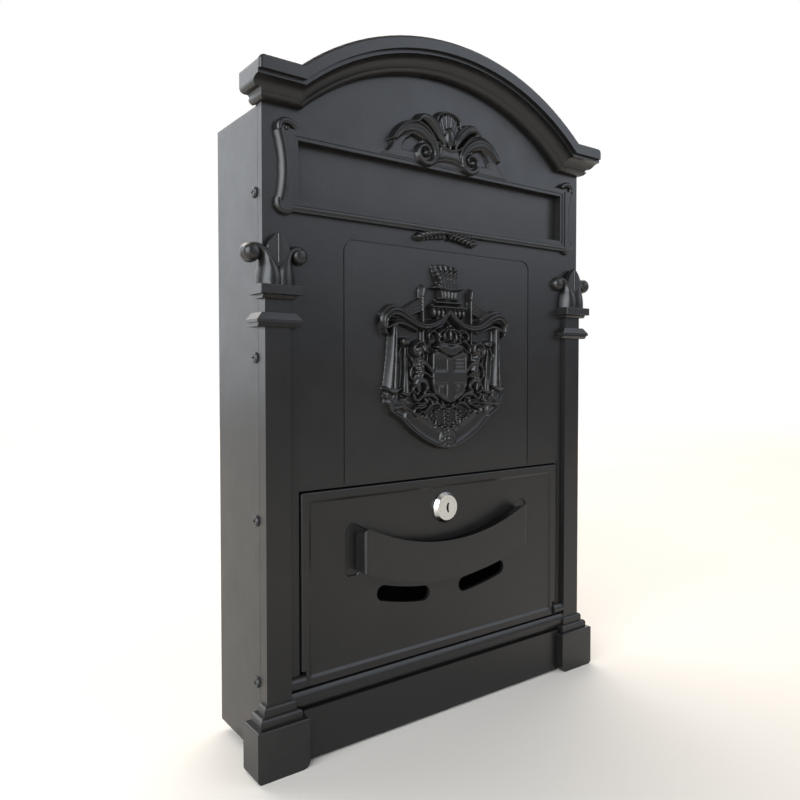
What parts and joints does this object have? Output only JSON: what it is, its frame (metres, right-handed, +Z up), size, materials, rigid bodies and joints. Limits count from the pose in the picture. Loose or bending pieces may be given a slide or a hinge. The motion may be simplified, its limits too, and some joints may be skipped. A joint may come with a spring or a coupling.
{
  "type": "wall mounted post box",
  "caption": "Wall mounted letter box with an arched cast front, a letter slot with an inner flap, relief crest, corner pilasters and a lockable drop-down door, on a flat steel box",
  "frame": {"origin": "centre of the four wall screw holes, on the back face that lies on the wall", "axes": "+X to the right seen from the front, +Y into the wall, so the front faces -Y, +Z up"},
  "size_m": [0.27, 0.0762, 0.41],
  "materials": {
    "cast_front": "satin",
    "sheet_housing": "satin",
    "black_screws": "satin",
    "bright_lock": "polished",
    "plain_steel": "satin"
  },
  "bodies": {
    "case": {"front_casting": "cast_front", "crest": "cast_front", "crest_screws": "plain_steel", "housing": "sheet_housing", "left_housing_screws": "black_screws", "right_housing_screws": "black_screws", "flap_rod": "plain_steel", "flap_rod_clips": "plain_steel", "left_hinge_pin": "plain_steel", "right_hinge_pin": "plain_steel"},
    "flap": {"letter_flap": "sheet_housing"},
    "door": {"door_panel": "cast_front", "door_handle": "cast_front", "handle_screws": "plain_steel", "lock_barrel": "bright_lock", "lock_washer": "plain_steel", "lock_nut": "plain_steel"},
    "lock": {"lock_plug": "bright_lock", "lock_cam": "plain_steel", "cam_screw": "plain_steel"}
  },
  "joints": [
    {"name": "flap_hinge", "type": "hinge", "parent": "case", "child": "flap", "pos_m": [0, -0.0565, 0.1415], "axis": [1, 0, 0], "range_deg": [0, 65]},
    {"name": "door_hinge", "type": "hinge", "parent": "case", "child": "door", "pos_m": [0, -0.0595, -0.1565], "axis": [1, 0, 0], "range_deg": [0, 115]},
    {"name": "lock_turn", "type": "hinge", "parent": "door", "child": "lock", "pos_m": [0, -0.0605, -0.0714], "axis": [0, -1, 0], "range_deg": [0, 90]}
  ]
}
